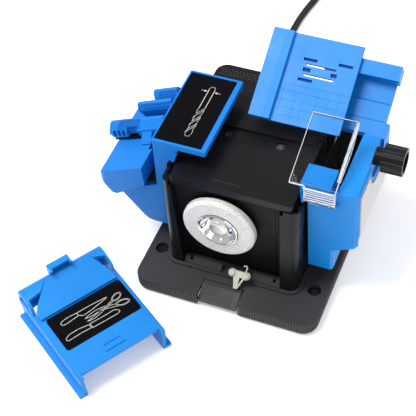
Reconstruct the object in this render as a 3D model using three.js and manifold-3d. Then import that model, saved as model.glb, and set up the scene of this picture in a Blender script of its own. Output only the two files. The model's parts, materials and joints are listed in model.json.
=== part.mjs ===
// Bench sharpener for drill bits, chisels, knives and scissors.
// A black motor body stands on a wide base plate with its grinding wheel facing front.
// A blue drill head hangs on its left side, a blue chisel head on its right side, and a blue
// knife and scissors guide lies in front. Millimetres, +Z up, -Y is the front.
//
// Every piece is drawn in the bench frame: x = 0 is the middle of the base plate, y = 0 its front
// edge and z = 0 its underside. The bench group then puts the origin in the middle of the plate,
// on the table that the rubber feet stand on.
import * as THREE from 'three';
import { mergeVertices } from 'three/addons/utils/BufferGeometryUtils.js';
import Module from 'manifold-3d';

const wasm = await Module();
wasm.setup();

// ---------------------------------------------------------------- driving dimensions
const GAP = 0.3;                 // clearance between pieces that touch
const FOOT_PROUD = 1.5;          // height of the plate's underside above the table
const TABLE = -FOOT_PROUD;       // the table's height in the bench frame

const BASE = { width: 127.4, depth: 158, height: 9.7, corner: 10, wall: 2.7 };
const BOLT = { x: 54.9, y: 29.5, radius: 2.3, recess: 4.6, recessDepth: 3 };

const BODY = {
  x: -1.2,                       // the body's middle, a little left of the plate's
  footHalf: 45.3, topHalf: 46.8,
  footFront: 22.5, topFront: 27.5, footBack: 136, topBack: 134,
  corner: 6, wall: 2.5, top: 84,
};
const MOUTH = { left: -36, leftTop: -41.4, right: 33, back: 31.7 };   // the recess between the two posts
const WINDOW = { wall: 40, front: 60, back: 97 };   // the body's toothed recess beside the chisel well
const LID = { corner: 2.5, top: 89.7, step: 1, front: 28.2, stepY: 81, left: -41.7, right: 41.2 };

const AXLE = { x: -8.7, z: 53.7 };                  // the motor shaft, along Y
const WHEEL = { radius: 25, bore: 12.6, front: 24, back: 30, bevel: 1.8 };
const SHAFT_RADIUS = 3;
const BEARING = { radius: 8, front: 46, back: 52.5 };
const MOTOR = { radius: 26, wall: 1.6, front: 53.5, back: 114 };

const PEDAL = { left: -17.2, right: 9.8, back: 14.2, pinY: 23, pinZ: 4.6 };

const DRILL = {                  // the drill head
  front: 41, back: 107, wall: 3,
  inner: -49,                  // its face against the body
  bottom: 22.5,
  capLeft: -57.5, capRight: -20.5, capTop: 105.5, capThickness: 4,
};
const DRILL_TILT = 24;           // the drill's bed falls to the left by this angle
const BED = { x: -67, z: 77, reach: 33.5 };   // the right end of the bed's top, and how far it goes left

const CHISEL = {                 // the chisel head
  front: 40, back: 106, inner: 47, outer: 79.6,
  bottom: 22, shelf: 57, top: 99.6, hook: 42,
  legOuter: 63.5,
};
const KNOB = { y: 80, z: 96.5, radius: 9.4, inner: 83.2, outer: 97.2, neck: 6, screw: 2.6 };
const SCALLOP = { radius: 13.4, depth: 1.9 };       // the round recess behind the side knob
const TRAY = { x: 21.9, y: 85.4, z: 100, width: 60.6, length: 60.3, thickness: 2.3, tilt: 29.5 };
const FLANGE = { width: 14.6, height: 3.2 };
const SHIELD = { left: 36.2, lipLeft: 45.6, right: 65.6, length: 48.6, tilt: 19, y: 38, z: 100.6 };
const HINGE = { y: 37.6, z: 89.6, pin: 0.7, barrel: 1.7 };   // the shield's pin, at the foot of its lip

const GUIDE = {                  // the knife and scissors guide, in its own frame
  x: -60, y: -93, turn: 56.5, width: 69.6, depth: 80, height: 20, wall: 2.6,
};

const CORD = { diameter: 5.6, sides: 8, exitX: -22, exitZ: 22 };
const COIL = { x: -3, y: 383, radius: 31, halfWidth: 8.6, height: 11.4 };
const PLUG = { x: 48, y: 419, z: 4.6, length: 32, width: 24, height: 12, pin: 17, pinRadius: 2, pitch: 19 };

// ---------------------------------------------------------------- materials
const plastic = (color, roughness = 0.5) => new THREE.MeshStandardMaterial({ color, roughness });
const metal = (color, roughness) => new THREE.MeshStandardMaterial({ color, roughness, metalness: 1 });
const BLACK = plastic(0x1b1b1e, 0.6);
const DARK = plastic(0x121214, 0.7);
const RUBBER = plastic(0x202022, 0.9);
const BLUE = plastic(0x1c7ff0, 0.42);
const LABEL = plastic(0x08080a, 0.35);
const CREAM = plastic(0xe6e8cf, 0.5);
const ABRASIVE = plastic(0xb9bab8, 0.95);
const PAD = plastic(0xcfcbca, 0.95);
const CLEAR = new THREE.MeshStandardMaterial({
  color: 0xeef4fa, roughness: 0.05, transparent: true, opacity: 0.3,
});
const CHROME = metal(0xd8dadd, 0.12);
const STEEL = metal(0xa0a3a6, 0.35);
const COPPER = metal(0xb36a3c, 0.35);

// ---------------------------------------------------------------- solids
// A closed three.js geometry as a solid that can be joined and cut.
function solid(geometry) {
  const bare = geometry.clone();
  bare.deleteAttribute('normal');
  bare.deleteAttribute('uv');
  const merged = mergeVertices(bare, 1e-4);
  return new wasm.Manifold(new wasm.Mesh({
    numProp: 3,
    vertProperties: new Float32Array(merged.attributes.position.array),
    triVerts: new Uint32Array(merged.index.array),
  }));
}

function geometryOf(shape) {
  const mesh = shape.getMesh();
  const geometry = new THREE.BufferGeometry();
  geometry.setAttribute('position', new THREE.BufferAttribute(new Float32Array(mesh.vertProperties), 3));
  geometry.setIndex(new THREE.BufferAttribute(new Uint32Array(mesh.triVerts), 1));
  geometry.computeVertexNormals();
  return geometry;
}

const join = (...parts) => parts.reduce((whole, part) => whole.add(part));
const cut = (whole, ...tools) => tools.reduce((rest, tool) => rest.subtract(tool), whole);

function box([x0, x1], [y0, y1], [z0, z1]) {
  const geometry = new THREE.BoxGeometry(x1 - x0, y1 - y0, z1 - z0);
  return solid(geometry.translate((x0 + x1) / 2, (y0 + y1) / 2, (z0 + z1) / 2));
}

// An outline pushed along an axis: its points are (x, y) for z, (x, z) for y and (y, z) for x.
function prism(outline, axis, [from, to], curveSegments = 8) {
  const shape = outline instanceof THREE.Shape
    ? outline
    : new THREE.Shape(outline.map(([u, v]) => new THREE.Vector2(u, v)));
  const depth = to - from;
  const geometry = new THREE.ExtrudeGeometry(shape, { depth, bevelEnabled: false, curveSegments });
  if (axis === 'z') {
    geometry.translate(0, 0, from);
  } else if (axis === 'y') {
    geometry.rotateX(Math.PI / 2).translate(0, to, 0);
  } else {
    const turn = new THREE.Matrix4().makeBasis(
      new THREE.Vector3(0, 1, 0), new THREE.Vector3(0, 0, 1), new THREE.Vector3(1, 0, 0),
    );
    geometry.applyMatrix4(turn).translate(from, 0, 0);
  }
  return solid(geometry);
}

// A round bar: centre is (x, y) along z, (x, z) along y and (y, z) along x.
function rod(axis, [u, v], radius, [from, to], sides = 28, endRadius = radius) {
  const geometry = new THREE.CylinderGeometry(endRadius, radius, to - from, sides);
  const middle = (from + to) / 2;
  if (axis === 'z') geometry.rotateX(Math.PI / 2).translate(u, v, middle);
  else if (axis === 'y') geometry.translate(u, middle, v);
  else geometry.rotateZ(-Math.PI / 2).translate(middle, u, v);
  return solid(geometry);
}

// A turned piece: profile points are (radius, place along the axis).
function turned(axis, [u, v], profile, sides = 40) {
  const points = profile.map(([radius, along]) => new THREE.Vector2(radius, along));
  const geometry = new THREE.LatheGeometry(points, sides);
  if (axis === 'y') geometry.translate(u, 0, v);
  else if (axis === 'z') geometry.rotateX(Math.PI / 2).translate(u, v, 0);
  else geometry.rotateZ(-Math.PI / 2).translate(0, u, v);
  return solid(geometry);
}

const ring = (inner, outer, from, to) => [
  [inner, from], [outer, from], [outer, to], [inner, to], [inner, from],
];

function roundedRect([x0, x1], [y0, y1], radius) {
  const shape = new THREE.Shape();
  shape.absarc(x1 - radius, y0 + radius, radius, -Math.PI / 2, 0);
  shape.absarc(x1 - radius, y1 - radius, radius, 0, Math.PI / 2);
  shape.absarc(x0 + radius, y1 - radius, radius, Math.PI / 2, Math.PI);
  shape.absarc(x0 + radius, y0 + radius, radius, Math.PI, Math.PI * 1.5);
  shape.closePath();
  return shape;
}

// ---------------------------------------------------------------- the scene
const sharpener = new THREE.Group();
const bench = new THREE.Group();
bench.position.set(0, -BASE.depth / 2, FOOT_PROUD);
sharpener.add(bench);

function addPiece(name, shape, material, parent = bench) {
  const mesh = new THREE.Mesh(geometryOf(shape), material);
  mesh.name = name;
  parent.add(mesh);
  return mesh;
}

// ---------------------------------------------------------------- base plate and feet
// The body's outline at its foot, grown by an offset.
function footOutline(grow) {
  return roundedRect(
    [BODY.x - BODY.footHalf - grow, BODY.x + BODY.footHalf + grow],
    [BODY.footFront - grow, BODY.footBack + grow],
    BODY.corner + grow,
  );
}

function basePlate() {
  const half = BASE.width / 2;
  const plate = prism(roundedRect([-half, half], [0, BASE.depth], BASE.corner), 'z', [0, BASE.height]);
  const pocket = prism(
    roundedRect(
      [-half + BASE.wall, half - BASE.wall], [BASE.wall, BASE.depth - BASE.wall], BASE.corner - BASE.wall,
    ),
    'z', [-1, BASE.height - BASE.wall],
  );
  const collar = cut(
    prism(footOutline(2.6), 'z', [BASE.height - 1, BASE.height + 1.4]),
    prism(footOutline(GAP), 'z', [BASE.height, BASE.height + 2]),
  );
  const sillFront = BODY.footFront + GAP;
  const sillSection = [
    [sillFront, BASE.height - 1], [sillFront + 5, BASE.height - 1], [sillFront + 5, BASE.height + 4.2],
    [sillFront + 3.4, BASE.height + 4.2], [sillFront, BASE.height + 0.6],
  ];
  const sills = join(
    prism(sillSection, 'x', [MOUTH.left + GAP, -9]),
    prism(sillSection, 'x', [13, MOUTH.right - GAP]),
  );
  const notches = [-31, 28.4].map((x) => box([x - 1.1, x + 1.1], [sillFront + 2, 30], [BASE.height, 16]));
  const bosses = boltPlaces().map(([x, y]) => rod('z', [x, y], 7, [0, BASE.height - 1]));
  const holes = boltPlaces().map(([x, y]) => join(
    rod('z', [x, y], BOLT.radius, [-1, BASE.height + 1], 20),
    rod('z', [x, y], BOLT.recess, [BASE.height - BOLT.recessDepth, BASE.height + 1], 24),
  ));
  const pedalMouth = box(
    [PEDAL.left - 0.5, PEDAL.right + 1.4], [-1, PEDAL.back + 0.5], [-1, BASE.height + 3],
  );
  const pinCheeks = [PEDAL.left - 3, PEDAL.right + 1].map((x) => (
    box([x, x + 2], [PEDAL.pinY - 3, PEDAL.pinY + 3], [1, BASE.height - 1])
  ));
  const pinHole = rod('x', [PEDAL.pinY, PEDAL.pinZ], 1 + GAP, [PEDAL.left - 6, PEDAL.right + 6], 16);
  const footSeats = footPlaces().map(([x, y]) => rod('z', [x, y], 8, [0.8, BASE.height - 1]));
  const hollow = join(cut(plate, pocket), collar, sills, ...bosses, ...pinCheeks, ...footSeats);
  return cut(hollow, ...notches, ...holes, pedalMouth, pinHole);
}

function boltPlaces() {
  const back = BASE.depth - BOLT.y;
  return [[-BOLT.x, BOLT.y], [BOLT.x, BOLT.y], [-BOLT.x, back], [BOLT.x, back]];
}

function footPlaces() {
  const x = BASE.width / 2 - 14;
  const y = 13;
  return [[-x, y], [x, y], [-x, BASE.depth - y], [x, BASE.depth - y]];
}

addPiece('base_plate', basePlate(), BLACK);
footPlaces().forEach(([x, y], index) => {
  addPiece(`rubber_foot_${index + 1}`, rod('z', [x, y], 6.5, [TABLE, 0.8 - GAP], 24, 6), RUBBER);
});

// ---------------------------------------------------------------- body shell, bulkhead and lid
// The body's tapered outside, moved inwards by an inset.
function bodyBlock(inset, [z0, z1]) {
  const radius = BODY.corner - Math.min(inset, BODY.corner - 2);
  const height = BODY.top - BASE.height;
  const at = (z) => {
    const t = (z - BASE.height) / height;
    const mix = (a, b) => a + (b - a) * t;
    return {
      half: mix(BODY.footHalf, BODY.topHalf) - inset,
      front: mix(BODY.footFront, BODY.topFront) + inset,
      back: mix(BODY.footBack, BODY.topBack) - inset,
    };
  };
  const low = at(z0);
  const high = at(z1);
  const shape = roundedRect([BODY.x - low.half, BODY.x + low.half], [low.front, low.back], radius);
  const settings = { depth: z1 - z0, bevelEnabled: false, curveSegments: 5 };
  const geometry = new THREE.ExtrudeGeometry(shape, settings);
  geometry.translate(0, 0, z0);
  const place = geometry.attributes.position;
  const middleLow = (low.front + low.back) / 2;
  const middleHigh = (high.front + high.back) / 2;
  for (let i = 0; i < place.count; i += 1) {
    if (place.getZ(i) > (z0 + z1) / 2) {
      place.setX(i, BODY.x + (place.getX(i) - BODY.x) * high.half / low.half);
      const stretch = (high.back - high.front) / (low.back - low.front);
      place.setY(i, middleHigh + (place.getY(i) - middleLow) * stretch);
    }
  }
  return solid(geometry);
}

function bodyShell() {
  const foot = BASE.height + GAP;
  const outside = bodyBlock(0, [foot, BODY.top]);
  const inside = bodyBlock(BODY.wall, [foot - 1, BODY.top + 1]);
  const mouth = prism([
    [MOUTH.left, foot - 1], [MOUTH.right, foot - 1],
    [MOUTH.right, BODY.top + 1], [MOUTH.leftTop, BODY.top + 1],
  ], 'y', [0, MOUTH.back - 0.5]);
  const posts = join(
    prism([
      [-60, foot], [MOUTH.left, foot], [MOUTH.leftTop, BODY.top], [-60, BODY.top],
    ], 'y', [0, MOUTH.back]),
    box([MOUTH.right, 60], [0, MOUTH.back], [foot, BODY.top]),
  ).intersect(outside);
  const notch = (x) => box([x - 1, x + 1], [0, MOUTH.back - 1.5], [BODY.top - 3.4, BODY.top + 1]);
  const channel = box([MOUTH.right + 4.6, 43.4], [30, MOUTH.back + 1], [BODY.top - 5, BODY.top + 1]);
  const ventSlots = [];
  for (let y = 102; y < 124; y += 4) {
    ventSlots.push(box([38, 60], [y, y + 1.8], [52, 78]), box([-60, -40], [y, y + 1.8], [52, 78]));
  }
  const cordHole = rod('y', [CORD.exitX, CORD.exitZ], 5.2, [120, 150], 20);
  const backVents = [];
  for (let x = -26; x < 26; x += 6) backVents.push(box([x, x + 3], [120, 150], [44, 70]));
  const sideWindow = box([WINDOW.wall, 60], [WINDOW.front, WINDOW.back], [foot + 30, BODY.top + 1]);
  const windowWall = box(
    [WINDOW.wall - BODY.wall, WINDOW.wall], [WINDOW.front - 2, WINDOW.back + 2], [foot, BODY.top],
  );
  const shelf = box([WINDOW.wall - 1, 43], [WINDOW.front - 2, WINDOW.back + 2], [foot + 28, foot + 30]);
  const teeth = [];
  for (let y = WINDOW.front + 2; y < WINDOW.back - 2; y += 3.4) {
    teeth.push(prism([[y, foot + 29], [y + 1.7, foot + 29], [y + 1.7, BODY.top], [y, BODY.top]], 'x',
      [WINDOW.wall - 1, WINDOW.wall + 0.9]));
  }
  const shell = join(cut(join(cut(outside, inside, mouth), posts), sideWindow), windowWall, shelf, ...teeth);
  const notches = [notch(MOUTH.leftTop - 0.6), notch(MOUTH.right + 1.2)];
  return cut(shell, ...notches, channel, cordHole, ...ventSlots, ...backVents);
}
addPiece('body_shell', bodyShell(), BLACK);

function bulkhead() {
  const wall = box([-60, 60], [MOUTH.back + GAP, MOUTH.back + 3.3], [BASE.height + GAP, BODY.top - 0.5]);
  const bearingSeat = rod('y', [AXLE.x, AXLE.z], 12, [MOUTH.back + GAP, BEARING.back], 32);
  const plate = join(wall.intersect(bodyBlock(BODY.wall + GAP, [BASE.height + GAP, BODY.top])), bearingSeat);
  const seat = rod('y', [AXLE.x, AXLE.z], BEARING.radius + GAP, [BEARING.front, 60], 32);
  return cut(plate, seat, rod('y', [AXLE.x, AXLE.z], SHAFT_RADIUS + 1, [30, 60], 24));
}
addPiece('motor_bulkhead', bulkhead(), DARK);

function topLid() {
  const under = BODY.top + GAP;
  const backHalf = BODY.topHalf + 0.6;
  const frontPlan = roundedRect([LID.left, LID.right], [LID.front, 100], LID.corner);
  const frontPart = prism(frontPlan, 'z', [under, LID.top]);
  const backPart = prism(
    roundedRect([BODY.x - backHalf, BODY.x + backHalf], [86, BODY.topBack + 0.6], 8),
    'z', [under, LID.top + LID.step],
  );
  const raised = box([LID.left + 3, LID.right - 3], [LID.stepY, 100], [LID.top - 1, LID.top + LID.step]);
  const pocket = join(
    box([LID.left + 2.5, LID.right - 2.5], [LID.front + 2.5, 90], [under - 1, LID.top - 2.4]),
    box(
      [BODY.x - backHalf + BODY.wall, BODY.x + backHalf - BODY.wall], [88.5, BODY.topBack - 2],
      [under - 1, LID.top - 2.4],
    ),
  );
  const screwBoss = lidScrewPlaces().map(([x, y]) => rod('z', [x, y], 4.5, [under, LID.top - 1]));
  const tray = box([-26, 23], [67, LID.stepY], [LID.top - 0.8, LID.top + 2]);
  const windows = join(
    box([-9.4, -3.4], [70, 80], [LID.top - 4, 95]), box([-1.9, 4], [70, 80], [LID.top - 4, 95]),
    box([WINDOW.wall + 1.2, 60], [WINDOW.front, WINDOW.back], [80, 95]),
  );
  const windowFloor = box([-12, 7], [68, LID.stepY + 1], [LID.top - 5, LID.top - 1]);
  const screwDepth = [LID.top - 2.6, LID.top + 2];
  const screwHoles = lidScrewPlaces().map((place) => rod('z', place, 3.3, screwDepth, 20));
  const shankHoles = lidScrewPlaces().map(([x, y]) => rod('z', [x, y], 1.7, [80, LID.top], 16));
  const lid = join(cut(join(frontPart, backPart, raised), pocket), windowFloor, ...screwBoss);
  return cut(lid, tray, windows, ...screwHoles, ...shankHoles);
}

function lidScrewPlaces() {
  return [[-19.6, 75.3], [16.6, 75.3]];
}
addPiece('top_lid', topLid(), BLACK);

function lidScrew([x, y]) {
  const headTop = LID.top - 1.2;
  const head = rod('z', [x, y], 2.9, [headTop - 1.1, headTop], 20);
  const shank = rod('z', [x, y], 1.4, [BODY.top - 2, headTop - 1], 14);
  const cross = join(
    box([x - 1.7, x + 1.7], [y - 0.35, y + 0.35], [headTop - 0.6, headTop + 1]),
    box([x - 0.35, x + 0.35], [y - 1.7, y + 1.7], [headTop - 0.6, headTop + 1]),
  );
  return cut(join(head, shank), cross);
}
lidScrewPlaces().forEach((place, index) => {
  addPiece(`lid_screw_${index + 1}`, lidScrew(place), STEEL);
});

// ---------------------------------------------------------------- motor
const axle = [AXLE.x, AXLE.z];

function motorCan() {
  const shell = turned('y', axle, [
    [9.4, MOTOR.front], [MOTOR.radius, MOTOR.front], [MOTOR.radius, MOTOR.back],
    [MOTOR.radius - MOTOR.wall, MOTOR.back], [MOTOR.radius - MOTOR.wall, MOTOR.front + 2],
    [9.4, MOTOR.front + 2], [9.4, MOTOR.front],
  ], 36);
  const vents = [];
  for (let i = 0; i < 6; i += 1) {
    const angle = (i * Math.PI) / 3;
    const place = [AXLE.x + 17 * Math.cos(angle), AXLE.z + 17 * Math.sin(angle)];
    vents.push(rod('y', place, 3, [MOTOR.front - 1, MOTOR.front + 3], 12));
  }
  return cut(shell, ...vents);
}
addPiece('motor_can', motorCan(), STEEL);

function endBell() {
  const bell = turned('y', axle, [
    [5.2, MOTOR.back + GAP], [MOTOR.radius, MOTOR.back + GAP], [MOTOR.radius, MOTOR.back + 2.8],
    [9, MOTOR.back + 2.8], [9, MOTOR.back + 7], [5.2, MOTOR.back + 7], [5.2, MOTOR.back + GAP],
  ], 32);
  return bell;
}
addPiece('motor_end_bell', endBell(), DARK);

addPiece('stator_core', turned('y', axle, ring(17, MOTOR.radius - MOTOR.wall - GAP, 63, 95), 32), STEEL);
addPiece('front_bearing', turned('y', axle, ring(
  SHAFT_RADIUS + GAP, BEARING.radius, BEARING.front + GAP, BEARING.back - GAP,
), 28), CHROME);
const rearBearing = ring(SHAFT_RADIUS + GAP, 4.9, MOTOR.back + 0.5, MOTOR.back + 6.5);
addPiece('rear_bearing', turned('y', axle, rearBearing, 24), CHROME);
[['left', -1], ['right', 1]].forEach(([side, sign]) => {
  const x = [AXLE.x + sign * 8.4, AXLE.x + sign * 22].sort((a, b) => a - b);
  addPiece(`brush_${side}`, box(x, [100, 106], [AXLE.z - 3, AXLE.z + 3]), DARK);
});

function motorCradle() {
  const block = box([AXLE.x - 22, AXLE.x + 22], [64, 102], [BASE.height + GAP, AXLE.z - 12]);
  const hollow = box([AXLE.x - 19, AXLE.x + 19], [67, 99], [BASE.height - 1, AXLE.z - 30]);
  return cut(block, hollow, rod('y', axle, MOTOR.radius + GAP, [50, 120], 36));
}
addPiece('motor_cradle', motorCradle(), DARK);

// ---------------------------------------------------------------- rotor, grinding wheel and hub
function grindingWheel() {
  const { radius, bore, front, back, bevel } = WHEEL;
  return turned('y', axle, [
    [bore, front + 1], [bore + 1.8, front], [radius - bevel, front], [radius - 0.5, front + bevel - 0.9],
    [radius, front + bevel], [radius, back - 1], [radius - 1, back], [bore, back], [bore, front + 1],
  ], 56);
}
addPiece('grinding_wheel', grindingWheel(), ABRASIVE);

// The pressed cup that clamps the wheel: a flat ring, a cone and a floor for the nut.
const CUP_FLOOR = WHEEL.front + 4.6;

function hubCup() {
  const { front } = WHEEL;
  return turned('y', axle, [
    [SHAFT_RADIUS + GAP, CUP_FLOOR], [9.6, CUP_FLOOR], [11.6, front - 0.4], [12.6, front - 1.3],
    [14.4, front - 1], [14.8, front - GAP], [12.3, front - GAP], [12.3, CUP_FLOOR + 1.2],
    [SHAFT_RADIUS + GAP, CUP_FLOOR + 1.2], [SHAFT_RADIUS + GAP, CUP_FLOOR],
  ], 40);
}
addPiece('hub_cup', hubCup(), CHROME);

// The domed nut inside the cup.
function hubNut() {
  const foot = CUP_FLOOR - GAP;
  const hexagon = rod('y', axle, 7.9, [foot - 3, foot], 6);
  const dome = turned('y', axle, [
    [0, foot - 2.6], [3.4, foot - 2.5], [6, foot - 1.9], [7.4, foot - 1], [7.9, foot], [0, foot],
  ], 32);
  return cut(hexagon.intersect(dome), rod('y', axle, SHAFT_RADIUS + GAP, [foot - 1.6, foot + 1], 20));
}
addPiece('hub_nut', hubNut(), CHROME);

addPiece('wheel_flange', turned('y', axle, ring(
  SHAFT_RADIUS + GAP, 14, WHEEL.back + GAP, MOUTH.back - GAP,
), 32), STEEL);
addPiece('rotor_shaft', rod('y', axle, SHAFT_RADIUS, [CUP_FLOOR - 1.5, 122], 24), STEEL);
addPiece('rotor_core', turned('y', axle, ring(SHAFT_RADIUS + GAP, 16, 64, 94), 32), COPPER);
addPiece('commutator', turned('y', axle, ring(SHAFT_RADIUS + GAP, 8, 98, 108), 24), COPPER);

function coolingFan() {
  const hub = turned('y', axle, ring(SHAFT_RADIUS + GAP, 8, 57, 61.5), 24);
  const disc = turned('y', axle, ring(7, 21, 60.3, 61.5), 32);
  const blades = [];
  for (let i = 0; i < 8; i += 1) {
    const blade = new THREE.BoxGeometry(13.5, 4.2, 1);
    blade.translate(14, 59.3, 0).rotateY((i * Math.PI) / 4).translate(AXLE.x, 0, AXLE.z);
    blades.push(solid(blade));
  }
  return join(hub, disc, ...blades);
}
addPiece('cooling_fan', coolingFan(), DARK);

// ---------------------------------------------------------------- release pedal and latch
function releasePedal() {
  const side = [
    [0.3, 2.9], [0.3, 4.4], [10.6, BASE.height], [PEDAL.back, BASE.height], [PEDAL.back, 6.4],
    [PEDAL.pinY + 3, 6.4], [PEDAL.pinY + 3, 2.6], [5, 2.6],
  ];
  const pedal = prism(side, 'x', [PEDAL.left, PEDAL.right]);
  const springRoom = box([-6.5, -0.5], [PEDAL.pinY - 4, PEDAL.pinY + 4], [0, BASE.height]);
  const pinHole = rod('x', [PEDAL.pinY, PEDAL.pinZ], 1 + GAP, [-30, 30], 16);
  return cut(pedal, springRoom, pinHole);
}
addPiece('release_pedal', releasePedal(), BLACK);
addPiece('pedal_pin', rod('x', [PEDAL.pinY, PEDAL.pinZ], 1, [PEDAL.left - 3, PEDAL.right + 3], 14), STEEL);

// The torsion spring round the pedal's pin.
function pedalSpring() {
  const points = [];
  const turns = 3;
  for (let i = 0; i <= turns * 12; i += 1) {
    const angle = (i / 12) * Math.PI * 2;
    const x = -5.6 + (4.2 * i) / (turns * 12);
    points.push(new THREE.Vector3(x, PEDAL.pinY + 2 * Math.cos(angle), PEDAL.pinZ + 2 * Math.sin(angle)));
  }
  const wire = new THREE.Shape();
  wire.absarc(0, 0, 0.35, 0, Math.PI * 2);
  const path = new THREE.CatmullRomCurve3(points);
  return solid(new THREE.ExtrudeGeometry(wire, { steps: turns * 14, extrudePath: path, curveSegments: 3 }));
}
addPiece('pedal_spring', pedalSpring(), STEEL);

// The cream latch stands on the pedal, leans back and holds its cross bar a little askew.
const latch = new THREE.Group();
latch.position.set(5.6, 11.8, BASE.height + GAP);
latch.rotation.set(THREE.MathUtils.degToRad(-46), THREE.MathUtils.degToRad(3), 0, 'YXZ');
bench.add(latch);
const LATCH = { barZ: 11.4, half: 4.9, end: 2.7, thickness: 2.4 };

function latchTee() {
  const { barZ, half, end, thickness } = LATCH;
  const depth = [-thickness / 2, thickness / 2];
  const bar = box([-half, half], depth, [barZ - 2.1, barZ + 2.1]);
  const ends = [-half, half].map((x) => rod('y', [x, barZ], end, depth, 20));
  const stem = prism([[-1.6, 1.3], [0.9, 1.3], [0.6, barZ], [-4, barZ]], 'y', depth);
  const strut = prism([[-0.2, 1.4], [1.1, 1.4], [4.4, barZ - 1], [3.3, barZ - 1]], 'y', [-0.7, 0.5]);
  const web = prism([[0, 1.4], [2.2, 2.7], [1.4, barZ]], 'x', [-1.9, -1.1]);
  const hook = prism([
    [3.2, barZ + 1], [4, barZ + 1], [4.6, barZ + 5.4], [3.4, barZ + 7], [1.4, barZ + 6.2], [1.7, barZ + 5.5],
    [3.2, barZ + 6.1], [3.8, barZ + 5.2],
  ], 'y', [-0.4, 0.4]);
  const holes = [-half, half].map((x) => rod('y', [x, barZ], 1.15, [-4, 4], 14));
  return cut(join(bar, ...ends, stem, strut, web, hook), ...holes);
}
addPiece('latch_tee', latchTee(), CREAM, latch);

[['left', -1], ['right', 1]].forEach(([side, sign]) => {
  const place = [sign * LATCH.half, LATCH.barZ];
  const face = -LATCH.thickness / 2;
  const head = rod('y', place, 1.7, [face - GAP - 1, face - GAP], 18);
  const shank = rod('y', place, 0.85, [face - GAP - 0.1, 1.6], 12);
  addPiece(`latch_screw_${side}`, join(head, shank), CHROME, latch);
});

// ---------------------------------------------------------------- drill head
// The side outline of the head's front wall and belly, seen from the front as (x, z).
const drillOutline = [
  [-39.2, DRILL.capTop - DRILL.capThickness - GAP], [-57.2, DRILL.capTop - DRILL.capThickness - GAP],
  [-58.2, 60.4], [-65, 58.4], [-86, 45.4], [-71, 25.5], [-68.4, 23.4], [-65, DRILL.bottom],
  [DRILL.inner, DRILL.bottom], [DRILL.inner, 85.4], [-46, 90.2],
];

function drillHousing() {
  const bulk = prism(drillOutline, 'y', [DRILL.front, DRILL.back]);
  const room = prism([
    [-46.4, 93.4], [-54.2, 98.2], [-55.2, 57.6], [-64, 55.2], [-81.6, 44.4], [-68.6, 27.6],
    [-64.4, DRILL.bottom + 3], [DRILL.inner - 3, DRILL.bottom + 3], [DRILL.inner - 3, 87],
  ], 'y', [DRILL.front + DRILL.wall, DRILL.back + 1]);
  const stiffener = box([-55.6, DRILL.inner - 1], [72, 74.4], [DRILL.bottom + 1, 90]);
  const tab = prism([[-45.4, 93.4], [-44.6, 90.2], [-42.6, 90.6], [-40.4, 97.4], [-43, 98]], 'y',
    [DRILL.front - 1.6, DRILL.front + 3]);
  const lidRoom = box([BODY.x - BODY.topHalf - 1.2, -30], [84, DRILL.back + 1], [83, LID.top + 1.6]);
  return cut(join(cut(bulk, room), stiffener.intersect(bulk), tab), lidRoom);
}

// The bed that carries the drill clamp: a slanted block with a dark gap between it and the wall.
function drillBed() {
  const slope = Math.tan(THREE.MathUtils.degToRad(DRILL_TILT));
  const left = BED.x - BED.reach;
  const front = DRILL.front - 2.6;
  const under = (x, drop) => [x, BED.z + (x - BED.x) * slope - drop];
  const section = [
    under(BED.x, 0), [BED.x + 0.8, 60.6], [-88.6, 44.4], [-92, 44.6], [-98.6, 53.4],
    under(left, 3.4), under(left + 1.6, 0),
  ];
  const roundEnd = prism(roundedRect([left, 0], [front, 100], 4.6), 'z', [30, 100]);
  const block = prism(section, 'y', [front, 68]).intersect(roundEnd);
  const backBlock = prism([
    under(-58.6, 4), [-58.6, 61.8], [-65, 59.6], [-89, 45.6], [-98.6, 54], under(-99, 0),
  ], 'y', [62, DRILL.back]);
  const screwHole = rod('y', [DRILL_SCREW.x, DRILL_SCREW.z], 2.2 + GAP, [70, 120], 18);
  return cut(join(block, backBlock), screwHole, box([-70, -57], [57, 62], [50, 80]));
}

const DRILL_SCREW = { x: -69, z: 69, radius: 2.2, knobRadius: 6.6 };

const bed = new THREE.Group();
bed.position.set(BED.x, 0, BED.z);
bed.rotation.y = THREE.MathUtils.degToRad(-DRILL_TILT);
bench.add(bed);

// A clamp jaw's ridge: a bar along the bed with a slanted end and a sharp crest.
function ridge([x0, x1], [y0, y1], height, crestY, foot = GAP + 0.4) {
  const shoulder = height * 0.62;
  const section = [
    [y0, foot], [y1, foot], [y1, shoulder], [crestY + 1.4, height], [crestY - 1.4, height], [y0, shoulder],
  ];
  const bar = prism(section, 'x', [x0, x1]);
  const slantedEnd = prism([[x0 - 1, -2], [x0 + 4.5, -2], [x0 - 1, height * 0.8]], 'y', [y0 - 1, y1 + 1]);
  return cut(bar, slantedEnd);
}

function fixedJaw() {
  const jaw = ridge([-39, 6], [68.6, 82], 10.8, 76);
  const gusset = prism([[61.4, GAP + 0.4], [72, GAP + 0.4], [75, 10]], 'x', [-11.2, -3]);
  const cell = (x) => box([x, x + 2.6], [66, 71.5], [3, 7.6]);
  const undercut = box([-40, -11.2], [60, 79], [-1, 2.6]);
  const step = box([-24, -15], [66, 71.5], [2, 12]);
  return cut(join(jaw, gusset), ...[-35.8, -32, -28.2].map(cell), undercut, step);
}

function slidingJaw() {
  const first = ridge([-22.4, 6], [88, 96.5], 12.4, 91);
  const second = ridge([-13.6, 6], [97.4, 106.5], 13, 102);
  const web = box([-12, 5], [94, 100], [GAP + 0.4, 6]);
  return join(first, second, web);
}

addPiece('drill_housing', drillHousing(), BLUE);
addPiece('drill_bed', cut(drillBed(), bedClearance()), BLUE);
addPiece('drill_jaw_fixed', fixedJaw(), BLUE, bed);
addPiece('drill_jaw_sliding', slidingJaw(), BLUE, bed);

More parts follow.
